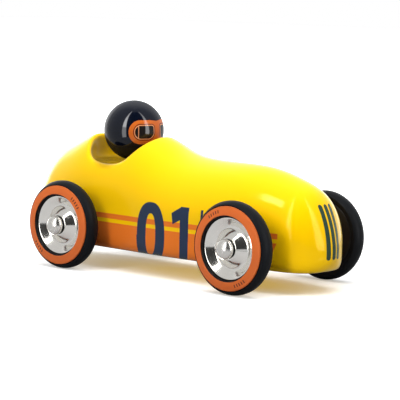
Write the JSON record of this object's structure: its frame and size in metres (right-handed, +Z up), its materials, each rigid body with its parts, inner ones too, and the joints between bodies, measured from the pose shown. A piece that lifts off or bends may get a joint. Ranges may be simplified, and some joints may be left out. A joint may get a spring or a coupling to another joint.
{
  "type": "pull back car",
  "caption": "Wooden racing car with a ball-headed driver, rubber-tyred wheels on two axles, and a wind-up spring motor geared to the rear axle.",
  "frame": {"origin": "on the floor under the middle of the car's length and width", "axes": "+X towards the nose, +Y to the car's left side, +Z up"},
  "size_m": [0.1852, 0.0896, 0.0838],
  "materials": {
    "yellow_lacquer": "glossy lacquered wood with printed trim",
    "navy_lacquer": "high-gloss dark lacquered wood",
    "raw_wood": "plain turned dowel",
    "black_plastic": "fine satin moulding",
    "white_plastic": "plain moulding",
    "gear_plastic": "acetal, slightly waxy",
    "orange_plastic": "semi-gloss",
    "tyre_rubber": "smooth matte rubber",
    "wheel_chrome": "bright polished plating",
    "axle_steel": "ground rod",
    "screw_steel": "zinc plated",
    "spring_steel": "blued strip",
    "pinion_brass": "turned and hobbed"
  },
  "bodies": {
    "chassis": {"body": "yellow_lacquer", "driver_head": "navy_lacquer", "neck_dowel": "raw_wood", "motor_cover_plate": "black_plastic", "cover_screw_rear": "screw_steel", "cover_screw_front": "screw_steel", "motor_case_left": "white_plastic", "motor_case_right": "white_plastic", "idler_pin": "axle_steel", "spring_arbor": "axle_steel", "mainspring": "spring_steel", "front_bush_left": "white_plastic", "front_bush_right": "white_plastic"},
    "rear_wheels": {"rear_axle": "axle_steel", "axle_pinion": "pinion_brass", "rear_left_washer": "screw_steel", "rear_left_wheel_core": "black_plastic", "rear_left_tyre": "tyre_rubber", "rear_left_trim_ring": "orange_plastic", "rear_left_hubcap": "wheel_chrome", "rear_left_axle_cap": "wheel_chrome", "rear_right_washer": "screw_steel", "rear_right_wheel_core": "black_plastic", "rear_right_tyre": "tyre_rubber", "rear_right_trim_ring": "orange_plastic", "rear_right_hubcap": "wheel_chrome", "rear_right_axle_cap": "wheel_chrome"},
    "front_wheels": {"front_axle": "axle_steel", "front_left_washer": "screw_steel", "front_left_wheel_core": "black_plastic", "front_left_tyre": "tyre_rubber", "front_left_trim_ring": "orange_plastic", "front_left_hubcap": "wheel_chrome", "front_left_axle_cap": "wheel_chrome", "front_right_washer": "screw_steel", "front_right_wheel_core": "black_plastic", "front_right_tyre": "tyre_rubber", "front_right_trim_ring": "orange_plastic", "front_right_hubcap": "wheel_chrome", "front_right_axle_cap": "wheel_chrome"},
    "idler": {"idler_gear": "gear_plastic"},
    "spring_barrel": {"spring_gear": "gear_plastic"}
  },
  "joints": [
    {"name": "rear_axle_spin", "type": "hinge", "parent": "chassis", "child": "rear_wheels", "pos_m": [-0.0499, 0, 0.022], "axis": [0, 1, 0], "continuous": true},
    {"name": "front_axle_spin", "type": "hinge", "parent": "chassis", "child": "front_wheels", "pos_m": [0.0607, 0, 0.022], "axis": [0, 1, 0], "continuous": true},
    {"name": "idler_spin", "type": "hinge", "parent": "chassis", "child": "idler", "pos_m": [-0.04081, 0, 0.02725], "axis": [0, 1, 0], "continuous": true},
    {"name": "spring_gear_spin", "type": "hinge", "parent": "chassis", "child": "spring_barrel", "pos_m": [-0.02701, 0, 0.02725], "axis": [0, 1, 0], "continuous": true}
  ],
  "couplings": [
    {"joint": "idler_spin", "follows": "rear_axle_spin", "ratio": -0.4},
    {"joint": "spring_gear_spin", "follows": "rear_axle_spin", "ratio": 0.11111}
  ]
}
